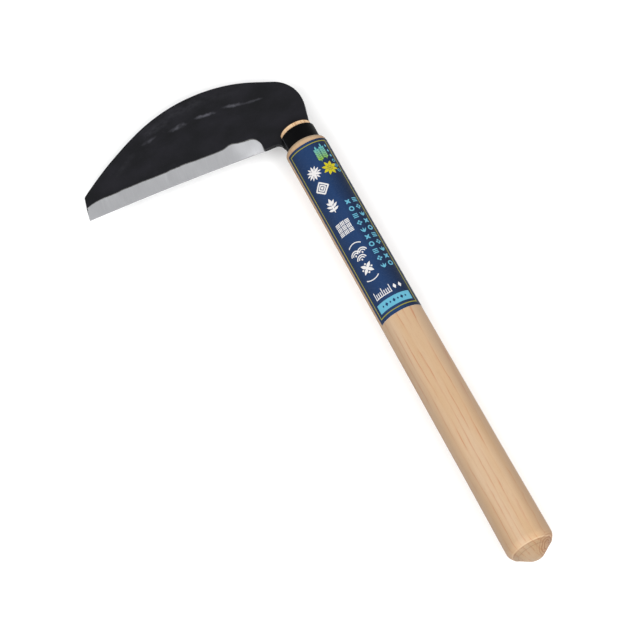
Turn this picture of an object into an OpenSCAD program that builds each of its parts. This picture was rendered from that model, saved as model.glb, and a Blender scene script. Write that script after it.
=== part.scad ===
// Small one-hand sickle with a forged, steel-faced blade and a turned wooden handle.
//
// Frame: the sickle lies flat. +Y runs along the handle from the butt to the blade, the blade
// reaches out towards -X and its ground face looks up, towards +Z. The origin is the middle of
// the handle, on its axis and in the middle plane of the blade. Lengths are in millimetres.

/* [Handle] */
// Length of the handle from its shoulder to the tip of its butt
handle_length = 304; // [240:1:420]
// Half-width of the handle at its shoulder
grip_half_width = 13.15; // [12.5:0.05:15]
// How much the half-width grows towards the butt
grip_flare = 1.5; // [0:0.1:2.5]
// Depth of the oval section over its width at the shoulder
shoulder_ratio = 0.84; // [0.82:0.01:1]
// Depth of the oval section over its width at the butt
butt_ratio = 0.9; // [0.82:0.01:1]
// Rounding of the rim at the shoulder, across the width of the oval
rim_round = 2; // [1:0.1:2.5]
// Rounding of the same rim across the depth of the oval
rim_round_depth = 0.3; // [0.2:0.1:1.5]
// Angle of the turned cone at the butt, measured from the end plane
butt_slope = 38; // [30:1:50]
// Rounding between the side of the handle and the cone
butt_corner_round = 6; // [3:0.5:7]
// Rounding of the tip of the cone
butt_tip_round = 8; // [4:0.5:9]

/* [Nose and ferrule] */
// Radius of the turned nose that carries the ferrule
nose_radius = 9.95; // [9.5:0.05:10.2]
// Length of the nose above the shoulder
nose_length = 13; // [11:0.5:16]
// Wall of the ferrule
ferrule_wall = 0.8; // [0.6:0.1:1.2]
// Length of the ferrule
ferrule_length = 10; // [8:0.5:10.5]
// Gap between the ferrule and the nose
ferrule_gap = 0.05; // [0.02:0.01:0.1]
// How far the notch for the heel of the blade reaches down from the ferrule's upper rim
notch_depth = 4.3; // [3:0.1:4.5]

/* [Blade] */
// Length of the cutting edge from the tip to the heel
edge_length = 120; // [105:1:135]
// Angle by which the edge opens away from a right angle to the handle
edge_angle = 8.7; // [4:0.1:14]
// Thickness of the blade at its neck
blade_thickness = 3.2; // [2.6:0.1:3.6]
// Thickness lost along the front face between the neck and the tip
tip_thinning = 0.8; // [0:0.1:1.2]
// Angle of the ground bevel against the flat back
bevel_angle = 17.5; // [14:0.5:22]
// Thickness left at the cutting edge
edge_land = 0.15; // [0.1:0.05:0.4]
// Straight rise of the back of the neck
neck_run = 12.4; // [10:0.1:15]
// Radius of the bend between the neck and the spine
neck_radius = 22; // [16:0.5:26]
// Turn of the bend between the neck and the spine
neck_turn = 73.1; // [71:0.1:75]
// Straight run between that bend and the arch
back_run = 10.7; // [8:0.1:14]
// Radius of the arched spine, as a share of the edge length
spine_share = 0.797; // [0.77:0.001:0.82]
// Turn of the arched spine
spine_turn = 49; // [47:0.1:51]
// Radius of the flatter end of the spine before the tip, as a share of the edge length
fore_share = 1.83; // [1.75:0.01:1.9]
// Turn of the flatter end of the spine
fore_turn = 12.7; // [11.5:0.1:13.5]

/* [Tang and fixings] */
// How far the tang reaches into the handle below the shoulder
tang_depth = 62; // [50:1:75]
// How far the back of the tang is drawn in from the flat back of the blade
tang_relief = 0.2; // [0.1:0.05:0.4]
// Radius of the pin through the handle and the tang
pin_radius = 1.5; // [1.2:0.1:2]
// Distance of the pin below the shoulder
pin_depth = 38; // [30:1:44]
// Width of the hard steel strip on the back of the blade
strip_width = 13; // [11:0.5:16]
// Thickness of the hard steel strip
strip_thickness = 0.9; // [0.6:0.1:1.1]

/* [Label] */
// Length of the paper label along the handle
label_length = 127.2; // [100:0.1:140]
// Bare wood between the shoulder and the label
label_margin = 3.9; // [3:0.1:8]
// Thickness of the paper label
label_thickness = 0.15; // [0.1:0.05:0.3]
// Where the label starts on the front, counted around the handle from +X
label_start = 155; // [140:1:160]
// Where the label ends on the back, counted the same way
label_end = -35; // [-60:1:-20]

/* [Hidden] */
$fn = 72;

// Heights along the handle
shoulder_y = handle_length / 2;
butt_y = -handle_length / 2;
label_top_y = shoulder_y - label_margin;

// Fits
slot_gap = 0.05;
slot_end_gap = 1;
pin_gap = 0.02;

// Outer and inner radius of the ferrule, and the height of its notch's floor
ferrule_bore = nose_radius + ferrule_gap;
ferrule_radius = ferrule_bore + ferrule_wall;
notch_y = shoulder_y + ferrule_length - notch_depth;
ferrule_chamfer = 0.25;

// The blade lies between these two planes, and the back of the tang a little inside them
back_z = -blade_thickness / 2;
front_z = blade_thickness / 2;
tang_back_z = back_z + tang_relief;

// Root of the blade: its neck starts on the nose's upper rim, its heel ends beside the ferrule
neck_x = nose_radius - 0.65;
neck_y = shoulder_y + nose_length;
neck_heading = 76.3;
heel_reach = 5.2;
heel = [-ferrule_radius - heel_reach, shoulder_y + 10.2];
heel_fillet = 4.6;
heel_flat = 0.8;
tip = heel + edge_length * [-cos(edge_angle), sin(edge_angle)];
tip_round = 2;
tip_turn = 43;

// The front face starts to fall towards the tip just outside the heel
thinning_start_x = heel[0] - 1;

// The ground bevel stops short of the heel and runs out in a short slope
grind_stop = 7;
runout_angle = 38;

// The flat back ends this far outside the ferrule and the nose
relief_gap = 0.15;

// The steel strip starts this far inside the heel
strip_start = 2;

// Tang: both its sides close in towards its end
tang_edge_x = -nose_radius + 0.55;
tang_back_x = neck_x;
tang_end_y = shoulder_y - tang_depth;
tang_end_edge_x = -6.5;
tang_end_back_x = 1.5;
tang_end_cut = 3;
tang_taper_y = shoulder_y - 4;
pin_y = shoulder_y - pin_depth;
pin_x = -1;

// Head of the pin stands proud by this much, its other end lies as far below the wood
pin_head = 0.35;
pin_recess = 0.2;

// Larger than anything that is cut
far = 400;

// ---------------------------------------------------------------- paths

// A move is [length, 0] for a straight run or [radius, turn] for a bend, left turns positive.
// A bend takes one point for every arc_step degrees.
function bend_centre(p, h, m) = p + sign(m[1]) * m[0] * [-sin(h), cos(h)];
function bend_point(c, h, m) = c + sign(m[1]) * m[0] * [sin(h), -cos(h)];
function leg(p, h, m, arc_step) =
    m[1] == 0
        ? [p + m[0] * [cos(h), sin(h)]]
        : let (c = bend_centre(p, h, m), n = ceil(abs(m[1]) / arc_step))
          [for (k = [1:n]) bend_point(c, h + m[1] * k / n, m)];

// Points of a path that starts at p with heading h and follows the moves
function trace(p, h, moves, arc_step = 4, i = 0) =
    i == len(moves)
        ? [p]
        : let (l = leg(p, h, moves[i], arc_step), n = len(l), turned = h + moves[i][1])
          concat([p], [for (k = [0:1:n - 2]) l[k]], trace(l[n - 1], turned, moves, arc_step, i + 1));

// ---------------------------------------------------------------- handle shape

// Facets around the oval handle, and the step of the bends in its profile
oval_sides = 60;
handle_arc_step = 13;

// Half-width and depth ratio of the oval section at height y
function along(y) = (shoulder_y - y) / handle_length;
function half_width(y) = grip_half_width + grip_flare * pow(along(y), 2);
function ratio(y) = shoulder_ratio + (butt_ratio - shoulder_ratio) * along(y);

// The butt: corner round, cone and tip round, in half-width against height
butt_flat = 0.8;
butt_corner_turn = 90 - butt_slope;
butt_round_reach = butt_corner_round * (1 - cos(butt_corner_turn)) + butt_tip_round * sin(butt_slope);
butt_cone = (half_width(butt_y) - butt_flat - butt_round_reach) / cos(butt_slope);
butt_height = butt_corner_round * sin(butt_corner_turn) + butt_cone * sin(butt_slope)
    + butt_tip_round * (1 - cos(butt_slope));
butt_top_y = butt_y + butt_height;
butt_profile = trace(
    [half_width(butt_top_y), butt_top_y],
    -90,
    [[butt_corner_round, -butt_corner_turn], [butt_cone, 0], [butt_tip_round, -butt_slope]],
    handle_arc_step
);

// A section of the loft is its half-width, its height and its half-depth
function section(w, y) = [w, y, w * ratio(y)];
function side(from_y, to_y, steps) =
    [for (k = [0:steps]) let (y = from_y + (to_y - from_y) * k / steps) section(half_width(y), y)];

// The shoulder rim, softer across the width than across the depth
rim_steps = 6;
rim = [
    for (k = [0:rim_steps])
        let (
            a = 90 * k / rim_steps,
            y = shoulder_y - rim_round * (1 - cos(a)),
            full = section(half_width(y), y)
        )
        full - (1 - sin(a)) * [rim_round, 0, rim_round_depth]
];

// The whole handle: the rim, the long side and the butt
side_inset = 10;
side_steps = 10;
handle_sections = concat(
    rim,
    side(shoulder_y - side_inset, butt_top_y + side_inset, side_steps),
    [for (p = butt_profile) section(p[0], p[1])]
);

// Closed solid around the Y axis through oval sections
module loft(sections, grow = 0) {
    sides = oval_sides;
    rings = len(sections);
    points = [
        for (s = sections, k = [0:sides - 1])
            let (a = 360 * k / sides)
            [(s[0] + grow) * cos(a), s[1], (s[2] + grow) * sin(a)]
    ];
    walls = [
        for (r = [0:rings - 2], k = [0:sides - 1])
            let (n = (k + 1) % sides)
            [r * sides + n, r * sides + k, (r + 1) * sides + k, (r + 1) * sides + n]
    ];
    top = [for (k = [0:sides - 1]) k];
    bottom = [for (k = [sides - 1:-1:0]) (rings - 1) * sides + k];
    polyhedron(points, concat([top], walls, [bottom]), convexity = 4);
}

// Turns a shape built around +Z so that it stands around +Y
module along_y(y) {
    translate([0, y, 0])
        rotate([-90, 0, 0])
            children();
}

// ---------------------------------------------------------------- blade shape

// Outline of blade, neck and tang in plan
module blade_outline() {
    spine = trace(
        [neck_x, neck_y],
        neck_heading,
        [[neck_run, 0], [neck_radius, neck_turn], [back_run, 0],
         [spine_share * edge_length, spine_turn], [fore_share * edge_length, fore_turn],
         [tip_round, tip_turn]]
    );
    throat = trace(heel, -edge_angle, [[heel_flat, 0], [heel_fillet, edge_angle - 90]]);
    tang = [
        [throat[len(throat) - 1][0], notch_y + slot_gap],
        [tang_edge_x, notch_y + slot_gap],
        [tang_end_edge_x, tang_end_y + tang_end_cut],
        [tang_end_edge_x + tang_end_cut, tang_end_y],
        [tang_end_back_x, tang_end_y],
        [tang_back_x, tang_taper_y]
    ];
    polygon(concat(spine, [tip], throat, tang));
}

// Places children with the heel as origin, +X along the edge to the tip, +Y to the spine
module at_edge() {
    translate([heel[0], heel[1], back_z + edge_land])
        rotate([0, 0, 180 - edge_angle])
            mirror([0, 1, 0])
                children();
}

// What the grindstone takes away: the bevel, and its runout before the heel
module grind() {
    at_edge()
        intersection() {
            rotate([bevel_angle, 0, 0])
                translate([-far, -far / 2, 0])
                    cube([2 * far, far, far]);
            translate([grind_stop, 0, blade_thickness])
                rotate([0, runout_angle, 0])
                    translate([0, -far / 2, -far])
                        cube([far, far, 2 * far]);
        }
}

// What thins the front face from the neck towards the tip
module thinning() {
    fall = atan(tip_thinning / (thinning_start_x - tip[0]));
    translate([thinning_start_x, 0, front_z])
        rotate([0, -fall, 0])
            translate([-far, -far, 0])
                cube([far, 2 * far, far]);
}

// What draws in the back of the tang, from just outside the ferrule and the nose inwards
module relief() {
    translate([-ferrule_radius - relief_gap, neck_y + relief_gap - far, back_z - far])
        cube([far, far, far + tang_relief]);
}

// Finished blade with its tang, before the two metals are told apart
module blade_blank() {
    difference() {
        translate([0, 0, back_z])
            linear_extrude(blade_thickness)
                blade_outline();
        grind();
        thinning();
        relief();
        translate([pin_x, pin_y, back_z - 1])
            cylinder(h = blade_thickness + 2, r = pin_radius + pin_gap);
    }
}

// Band along the edge that holds the hard steel
module strip_zone() {
    at_edge()
        translate([strip_start, strip_width - far, strip_thickness - edge_land - far])
            cube([far, far, far]);
}

// Space sawn into the handle for the tang, open towards -X
module slot() {
    translate([0, 0, tang_back_z - slot_gap])
        linear_extrude(front_z - tang_back_z + 2 * slot_gap)
            polygon([
                [-far, tang_end_y - slot_end_gap],
                [tang_end_back_x + slot_gap, tang_end_y - slot_end_gap],
                [tang_back_x + slot_gap, tang_taper_y],
                [tang_back_x + slot_gap, shoulder_y],
                [far, shoulder_y],
                [far, far],
                [-far, far]
            ]);
}

// ---------------------------------------------------------------- sub-parts

// Soft iron body of the blade, with the neck and the tang
module blade_body() {
    color("#2a2b30")
        difference() {
            blade_blank();
            strip_zone();
        }
}

// Hard steel strip that is forge-welded under the edge
module edge_steel() {
    color("#b4b8c0")
        intersection() {
            blade_blank();
            strip_zone();
        }
}

// Wooden handle: oval grip, turned nose, conical butt, sawn slot and pin hole
module handle() {
    nose_root = 3;
    color("#d6b48c")
        difference() {
            union() {
                loft(handle_sections);
                along_y(shoulder_y - nose_root)
                    cylinder(h = nose_length + nose_root, r = nose_radius);
            }
            slot();
            translate([pin_x, pin_y, -far / 2])
                cylinder(h = far, r = pin_radius + pin_gap);
        }
}

// Black steel ferrule, notched for the heel of the blade
module ferrule() {
    color("#0e0e10")
        difference() {
            along_y(shoulder_y)
                rotate_extrude()
                    polygon([
                        [ferrule_bore, 0],
                        [ferrule_radius - ferrule_chamfer, 0],
                        [ferrule_radius, ferrule_chamfer],
                        [ferrule_radius, ferrule_length - ferrule_chamfer],
                        [ferrule_radius - ferrule_chamfer, ferrule_length],
                        [ferrule_bore, ferrule_length]
                    ]);
            translate([-far, notch_y, back_z - slot_gap])
                cube([far, far, blade_thickness + 2 * slot_gap]);
        }
}

// Wooden slip that closes the slot beside the tang, flush with the handle
module slot_wedge() {
    end_x = tang_end_back_x - 1;
    end_y = tang_end_y - slot_end_gap + slot_gap;
    color("#c9a278")
        intersection() {
            loft(handle_sections);
            translate([0, 0, tang_back_z])
                linear_extrude(front_z - tang_back_z)
                    polygon([
                        [-far, end_y],
                        [end_x, end_y],
                        [end_x, tang_end_y - slot_gap],
                        [tang_end_edge_x + tang_end_cut - slot_gap, tang_end_y - slot_gap],
                        [tang_end_edge_x - slot_gap, tang_end_y + tang_end_cut],
                        [tang_edge_x - slot_gap, notch_y],
                        [tang_edge_x - slot_gap, shoulder_y - slot_gap],
                        [-far, shoulder_y - slot_gap]
                    ]);
        }
}

// Steel pin through handle and tang, proud of the wood on the back only
module tang_pin() {
    depth = half_width(pin_y) * ratio(pin_y);
    length = 2 * depth + pin_head - pin_recess;
    color("#9a9ca0")
        translate([pin_x, pin_y, -depth - pin_head])
            rotate_extrude()
                polygon([
                    [0, 0],
                    [pin_radius - pin_head, 0],
                    [pin_radius, pin_head],
                    [pin_radius, length],
                    [0, length]
                ]);
}

// Paper label glued around the upper half of the grip
module label() {
    bottom_y = label_top_y - label_length;
    turn = label_start - label_end;
    steps = 12;
    sector = [for (k = [0:steps]) let (a = label_end + turn * k / steps) far * [cos(a), sin(a)]];
    cover = concat([[0, 0]], sector);
    covered = side(label_top_y + 1, bottom_y - 1, 6);
    color("#26406f")
        intersection() {
            difference() {
                loft(covered, label_thickness);
                loft(covered);
            }
            translate([0, label_top_y, 0])
                rotate([90, 0, 0])
                    linear_extrude(label_length)
                        polygon(cover);
        }
}

blade_body();
edge_steel();
handle();
ferrule();
slot_wedge();
tang_pin();
label();
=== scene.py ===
import math

import bmesh
import bpy
import numpy as np
from mathutils import Matrix, Vector
from mathutils.geometry import delaunay_2d_cdt


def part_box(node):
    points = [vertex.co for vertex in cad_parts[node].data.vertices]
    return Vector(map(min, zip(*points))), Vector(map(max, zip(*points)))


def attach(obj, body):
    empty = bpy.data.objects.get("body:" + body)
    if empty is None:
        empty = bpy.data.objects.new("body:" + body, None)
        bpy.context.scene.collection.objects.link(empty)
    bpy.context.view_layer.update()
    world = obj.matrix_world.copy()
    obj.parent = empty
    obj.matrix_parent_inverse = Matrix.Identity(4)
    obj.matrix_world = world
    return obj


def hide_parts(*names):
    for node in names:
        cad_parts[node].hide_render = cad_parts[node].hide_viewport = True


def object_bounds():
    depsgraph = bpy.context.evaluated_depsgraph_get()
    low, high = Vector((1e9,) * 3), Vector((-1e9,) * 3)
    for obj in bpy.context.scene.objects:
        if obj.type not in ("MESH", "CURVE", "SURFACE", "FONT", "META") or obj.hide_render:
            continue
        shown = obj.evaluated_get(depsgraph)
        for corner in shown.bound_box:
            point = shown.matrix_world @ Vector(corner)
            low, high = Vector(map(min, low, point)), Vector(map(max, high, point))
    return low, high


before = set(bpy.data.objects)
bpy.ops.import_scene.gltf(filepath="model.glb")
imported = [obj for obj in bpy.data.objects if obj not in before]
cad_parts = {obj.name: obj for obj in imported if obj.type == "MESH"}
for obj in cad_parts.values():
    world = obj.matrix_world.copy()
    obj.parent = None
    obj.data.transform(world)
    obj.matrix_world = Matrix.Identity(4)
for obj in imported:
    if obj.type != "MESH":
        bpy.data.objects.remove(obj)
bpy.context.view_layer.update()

# Hand sickle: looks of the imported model. Lengths below are in millimetres, and the meshes are
# written in metres. Where a piece stands comes from the boxes of the CAD nodes.
MM = 0.001


def node_box(node):
    lo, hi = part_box(node)
    return np.array(lo) / MM, np.array(hi) / MM


HANDLE_LO, HANDLE_HI = node_box("handle")
FERRULE_LO, FERRULE_HI = node_box("ferrule")
BODY_LO, BODY_HI = node_box("blade_body")
LABEL_LO, LABEL_HI = node_box("label")
PIN_LO, PIN_HI = node_box("tang_pin")

# ------------------------------------------------------------------ small helpers


def smooth(a, b, x):
    """0 before a, 1 after b, smooth between them."""
    t = np.clip((np.asarray(x, float) - a) / (b - a), 0, 1)
    return t * t * (3 - 2 * t)


def bell(x, centre, width):
    return np.exp(-(((np.asarray(x, float) - centre) / width) ** 2))


class Waves:
    """Smooth seeded noise in two directions: a sum of sine waves."""

    def __init__(self, seed, count, longest, shortest):
        rng = np.random.default_rng(seed)
        angle = rng.uniform(0, 2 * math.pi, count)
        length = np.exp(rng.uniform(math.log(shortest), math.log(longest), count))
        self.kx = 2 * math.pi * np.cos(angle) / length
        self.ky = 2 * math.pi * np.sin(angle) / length
        self.phase = rng.uniform(0, 2 * math.pi, count)
        self.scale = 1 / math.sqrt(count / 2)

    def __call__(self, x, y=0.0):
        x, y = np.broadcast_arrays(np.asarray(x, float), np.asarray(y, float))
        a = x[..., None] * self.kx + y[..., None] * self.ky + self.phase
        return np.sin(a).sum(-1) * self.scale


def trace(start, heading, moves, step=0.4):
    """Points of a path of straight runs (length, 0) and bends (radius, turn in degrees)."""
    pts = [np.array(start, float)]
    h = math.radians(heading)
    for size, turn in moves:
        if turn == 0:
            n = max(1, int(size / step))
            d = np.array([math.cos(h), math.sin(h)])
            p = pts[-1]
            pts += [p + d * size * k / n for k in range(1, n + 1)]
        else:
            t = math.radians(turn)
            side = math.copysign(1, t)
            c = pts[-1] + side * size * np.array([-math.sin(h), math.cos(h)])
            n = max(3, int(abs(t) * size / step))
            for k in range(1, n + 1):
                a = h + t * k / n
                pts.append(c + side * size * np.array([math.sin(a), -math.cos(a)]))
            h += t
    return np.array(pts)


def arc_length(pts):
    return np.concatenate([[0], np.cumsum(np.linalg.norm(np.diff(pts, axis=0), axis=1))])


def at_length(pts, s, where):
    return np.stack([np.interp(where, s, pts[:, k]) for k in range(pts.shape[1])], -1)


def make_object(name, verts, faces, materials, face_material=None, smooth_angle=35, weld=0.0):
    """A mesh object in metres from points in millimetres, welded, with outward faces."""
    mesh = bpy.data.meshes.new(name)
    mesh.from_pydata([tuple(v) for v in np.asarray(verts) * MM], [], [tuple(f) for f in faces])
    for m in materials:
        mesh.materials.append(m)
    if face_material is not None:
        mesh.polygons.foreach_set("material_index", np.asarray(face_material, np.int32))
    bm = bmesh.new()
    bm.from_mesh(mesh)
    if weld:
        bmesh.ops.remove_doubles(bm, verts=bm.verts, dist=weld * MM)
        bmesh.ops.dissolve_degenerate(bm, edges=bm.edges, dist=weld * MM * 0.5)
    bmesh.ops.recalc_face_normals(bm, faces=bm.faces)
    bm.to_mesh(mesh)
    bm.free()
    mesh.update()
    obj = bpy.data.objects.new(name, mesh)
    bpy.context.scene.collection.objects.link(obj)
    shade(obj, smooth_angle)
    return obj


def shade(obj, angle):
    mesh = obj.data
    mesh.shade_smooth()
    mesh.set_sharp_from_angle(angle=math.radians(angle))


def place(obj, slot, *nodes):
    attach(obj, "root")
    if nodes:
        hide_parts(*nodes)
    return obj


# ------------------------------------------------------------------ material helpers


class Graph:
    """Short names for building a node tree."""

    def __init__(self, name):
        self.material = bpy.data.materials.new(name)
        self.material.use_nodes = True
        self.tree = self.material.node_tree
        self.shader = self.tree.nodes["Principled BSDF"]

    def node(self, kind, **settings):
        n = self.tree.nodes.new("ShaderNode" + kind)
        for k, v in settings.items():
            setattr(n, k, v)
        return n

    def link(self, a, b):
        self.tree.links.new(a, b)

    def put(self, socket, value):
        if hasattr(value, "is_output"):
            self.link(value, socket)
        else:
            socket.default_value = value

    def coords(self, scale=1.0, turn=0.0, where=(0, 0, 0)):
        """Object coordinates in millimetres, turned about Z and then scaled."""
        tex = self.node("TexCoord")
        to_mm = self.node("Mapping")
        to_mm.inputs["Scale"].default_value = (1 / MM,) * 3
        self.link(tex.outputs["Object"], to_mm.inputs["Vector"])
        turned = self.node("Mapping")
        turned.inputs["Rotation"].default_value = (0, 0, math.radians(turn))
        turned.inputs["Location"].default_value = where
        self.link(to_mm.outputs[0], turned.inputs["Vector"])
        scaled = self.node("Mapping")
        scaled.inputs["Scale"].default_value = np.broadcast_to(scale, 3)
        self.link(turned.outputs[0], scaled.inputs["Vector"])
        return scaled.outputs[0]

    def noise(self, scale, detail=2.0, rough=0.5, turn=0.0, where=(0, 0, 0)):
        """Noise with this many cells a millimetre along each axis."""
        n = self.node("TexNoise")
        self.link(self.coords(scale, turn, where), n.inputs["Vector"])
        n.inputs["Scale"].default_value = 1.0
        n.inputs["Detail"].default_value = detail
        n.inputs["Roughness"].default_value = rough
        return n.outputs["Fac"]

    def ramp(self, value, stops):
        n = self.node("ValToRGB")
        els = n.color_ramp.elements
        while len(els) < len(stops):
            els.new(0.5)
        for e, (pos, col) in zip(els, stops):
            e.position = pos
            e.color = (col, col, col, 1) if isinstance(col, (int, float)) else (*col, 1)
        self.put(n.inputs["Fac"], value)
        return n.outputs["Color"]

    def rise(self, value, a, b, low=0.0, high=1.0):
        """low up to a, high from b on."""
        return self.ramp(value, [(a, low), (b, high)])

    def mix(self, factor, a, b, mode="MIX"):
        n = self.node("Mix", data_type="RGBA", blend_type=mode)
        self.put(n.inputs[0], factor)
        for socket, v in ((n.inputs[6], a), (n.inputs[7], b)):
            self.put(socket, (*v, 1) if isinstance(v, tuple) and len(v) == 3 else v)
        return n.outputs[2]

    def math(self, op, *values):
        n = self.node("Math", operation=op)
        for socket, v in zip(n.inputs, values):
            self.put(socket, v)
        return n.outputs[0]

    def times(self, a, b):
        return self.math("MULTIPLY", a, b)

    def line(self, a, slope, offset):
        """a * slope + offset"""
        return self.math("MULTIPLY_ADD", a, slope, offset)

    def span(self, a, start, length):
        """0 where a is start and 1 a length further on."""
        return self.line(a, 1 / length, -start / length)

    def xyz(self, vector):
        n = self.node("SeparateXYZ")
        self.link(vector, n.inputs[0])
        return n.outputs

    def bump(self, height, distance, strength):
        n = self.node("Bump")
        n.inputs["Strength"].default_value = strength
        n.inputs["Distance"].default_value = distance * MM
        self.link(height, n.inputs["Height"])
        return n.outputs["Normal"]

    def set(self, **values):
        names = {
            "color": "Base Color",
            "metallic": "Metallic",
            "roughness": "Roughness",
            "specular": "Specular IOR Level",
            "normal": "Normal",
        }
        for k, v in values.items():
            if isinstance(v, tuple) and len(v) == 3:
                v = (*v, 1)
            self.put(self.shader.inputs[names[k]], v)
        return self.material


def rgb(*levels):
    """Linear colour of an 8-bit screen colour."""
    c = np.array(levels) / 255
    return tuple(np.where(c <= 0.04045, c / 12.92, ((c + 0.055) / 1.055) ** 2.4).tolist())


# ------------------------------------------------------------------ places from the CAD boxes

SHOULDER_Y = FERRULE_LO[1]
BUTT_Y = HANDLE_LO[1]
NOSE_Y = HANDLE_HI[1]
LENGTH = SHOULDER_Y - BUTT_Y
FERRULE_R = FERRULE_HI[0]
FERRULE_TOP = FERRULE_HI[1]
BACK_Z = BODY_LO[2]
FRONT_Z = BODY_HI[2]
THICKNESS = FRONT_Z - BACK_Z
FERRULE_WALL, NECK_INSET = 0.9, 0.65
NOSE_R = FERRULE_R - FERRULE_WALL
NECK_X = NOSE_R - NECK_INSET
TIP_X = BODY_LO[0]

# ------------------------------------------------------------------ blade geometry

EDGE_LENGTH = 120.0
EDGE_TURN = math.radians(8.7)
HEEL_OUT, HEEL_UP = 5.2, 10.2
HEEL = np.array([-FERRULE_R - HEEL_OUT, SHOULDER_Y + HEEL_UP])
ALONG = np.array([-math.cos(EDGE_TURN), math.sin(EDGE_TURN)])
ACROSS = np.array([math.sin(EDGE_TURN), math.cos(EDGE_TURN)])
LAND = 0.15
THINNING = 0.8
STRIP_START = 2.0
STRIP_WIDTH = 13.0
STRIP_TOP = BACK_Z + 0.9
GRIND_END = 6.15
GRIND_START = 20.0
NOTCH_Y = SHOULDER_Y + 5.7


def plan(s, d):
    """Plan point at distance s from the heel along the edge and d from the edge line."""
    s, d = np.broadcast_arrays(np.asarray(s, float), np.asarray(d, float))
    return HEEL + s[..., None] * ALONG + d[..., None] * ACROSS


def edge_sag(s):
    """The honed edge is slightly hollow between heel and tip."""
    t = np.clip(np.asarray(s, float) / EDGE_LENGTH, 0, 1)
    return (4.6 * t * (1 - t) - 0.35 - 0.4 * t) * smooth(0, 6, s)


BOUNDARY_WOBBLE = Waves(11, 16, 22, 4)
FINE_WOBBLE = Waves(12, 12, 3, 1.2)


def bevel_width(s):
    """Width of the ground bevel: a hump near the heel, a fall at the tip, a round end."""
    s = np.asarray(s, float)
    w = 10.15 + 0.5 * bell(s, 56, 8) + 1.5 * bell(s, 24, 4.2) - 0.7 * smooth(84, 108, s)
    w = w - 2.3 * np.clip((s - 107) / 12, 0, 2) ** 2
    w = w + 0.07 * BOUNDARY_WOBBLE(s) + 0.03 * FINE_WOBBLE(s)
    t = np.clip((12.7 - s) / 6.6, 0, 1)
    return w * np.sqrt(np.clip(1 - t**2, 0, 1))


def front_face(p):
    """Height of the forged front face: it thins to the tip and keeps faint hammer dents."""
    fall = np.clip((HEEL[0] - 1 - p[..., 0]) / (HEEL[0] - 1 - TIP_X), 0, 1) * THINNING
    dents = 0.035 * DENTS(p[..., 0], p[..., 1]) + 0.012 * DENTS_FINE(p[..., 0], p[..., 1])
    free = smooth(NOSE_Y + 1, NOSE_Y + 8, p[..., 1])
    return FRONT_Z - fall - (0.05 - dents) * free


DENTS = Waves(21, 24, 40, 14)
DENTS_FINE = Waves(22, 24, 12, 5)


def edge_height(s):
    """Height of the edge: sharp along the bevel, full thickness again at the heel."""
    t = np.clip((GRIND_START - np.asarray(s, float)) / (GRIND_START - GRIND_END), 0, 1)
    return BACK_Z + LAND + (THICKNESS - LAND - 0.05) * t * t


def spine_path():
    """Up the neck, round the bend, along the arch in two arcs and round the corner of the tip."""
    below = np.array([[NECK_X, NOTCH_Y], [NECK_X, NOSE_Y - 2]])
    moves = [(12.4, 0), (22, 73.1), (10.7, 0), (95.6, 49), (219.6, 12.7), (2, 43)]
    return np.concatenate([below, trace((NECK_X, NOSE_Y), 76.3, moves)])


def throat_path():
    """From the heel round the fillet down to the floor of the notch."""
    down = trace(HEEL, -8.7, [(0.8, 0), (4.6, -81.3)], step=0.3)
    return np.concatenate([down, [[down[-1][0], NOTCH_Y]]])


def blade_columns():
    """Matching points on the edge side and on the spine side, from the tip to the neck."""
    spine = spine_path()[::-1]
    spine_s = arc_length(spine)
    spine_along = (spine - HEEL) @ ALONG
    s_values = np.unique(np.concatenate([
        np.linspace(EDGE_LENGTH, 14, 250),
        np.linspace(14, 5, 75),
        np.linspace(5, 0, 14),
        [STRIP_START, STRIP_START - 0.01],
    ]))[::-1]
    # Where the perpendicular at s meets the spine; near the tip the columns lean into its end
    order = np.argsort(spine_along)
    lean = 8.0
    cut = EDGE_LENGTH - lean
    upper_at = np.interp(s_values, spine_along[order], spine_s[order])
    at_cut = np.interp(cut, spine_along[order], spine_s[order])
    tip_part = s_values > cut
    upper_at[tip_part] = at_cut * (EDGE_LENGTH - s_values[tip_part]) / lean
    lower = plan(s_values, edge_sag(s_values))
    upper = at_length(spine, spine_s, upper_at)
    # Neck: on from the heel round the throat
    throat = throat_path()
    throat_s = arc_length(throat)
    t = np.linspace(0, 1, 45)[1:]
    low_neck = at_length(throat, throat_s, t * throat_s[-1])
    start = upper_at[-1]
    up_neck = at_length(spine, spine_s, start + (spine_s[-1] - start) * t)
    s_all = np.concatenate([s_values, -t])
    return s_all, np.concatenate([lower, low_neck]), np.concatenate([upper, up_neck])


TANG_END_Y = SHOULDER_Y - 62
TANG = [  # edge side, back side
    ((-9.4, NOTCH_Y - 0.05), (NECK_X, NOTCH_Y - 0.4)),
    ((-9.2, SHOULDER_Y), (NECK_X, SHOULDER_Y - 1)),
    ((-9.0, SHOULDER_Y - 4), (NECK_X, SHOULDER_Y - 4.5)),
    ((-8.0, TANG_END_Y + 36), (6.2, TANG_END_Y + 36)),
    ((-6.6, TANG_END_Y + 6), (2.3, TANG_END_Y + 6)),
    ((-6.5, TANG_END_Y + 3), (1.9, TANG_END_Y + 3)),
    ((-3.5, TANG_END_Y), (1.5, TANG_END_Y)),
]
TANG_RELIEF = 0.2
RIM = 0.32
MICRO = 0.4
SCALE, GROUND, FRINGE = range(3)


def bevel_kind(s, t):
    """Material of the bevel at s and at fraction t of its width: its border is half polished."""
    if s <= GRIND_END or EDGE_LENGTH - s < 1.2 * (t - 0.25):
        return SCALE
    return FRINGE if t > 0.91 or s < GRIND_END + 0.5 else GROUND


BEVEL_ROWS, FACE_ROWS, BACK_ROWS, RECESS_ROWS, STRIP_ROWS = 14, 84, 34, 6, 6
STRIP_GAP = 0.01


def between(p, q, parts, skip=0):
    """Points from p to q in equal parts, without the first ones that are skipped."""
    return p + (q - p) * np.linspace(0, 1, parts + 1)[skip:, None]


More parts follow.
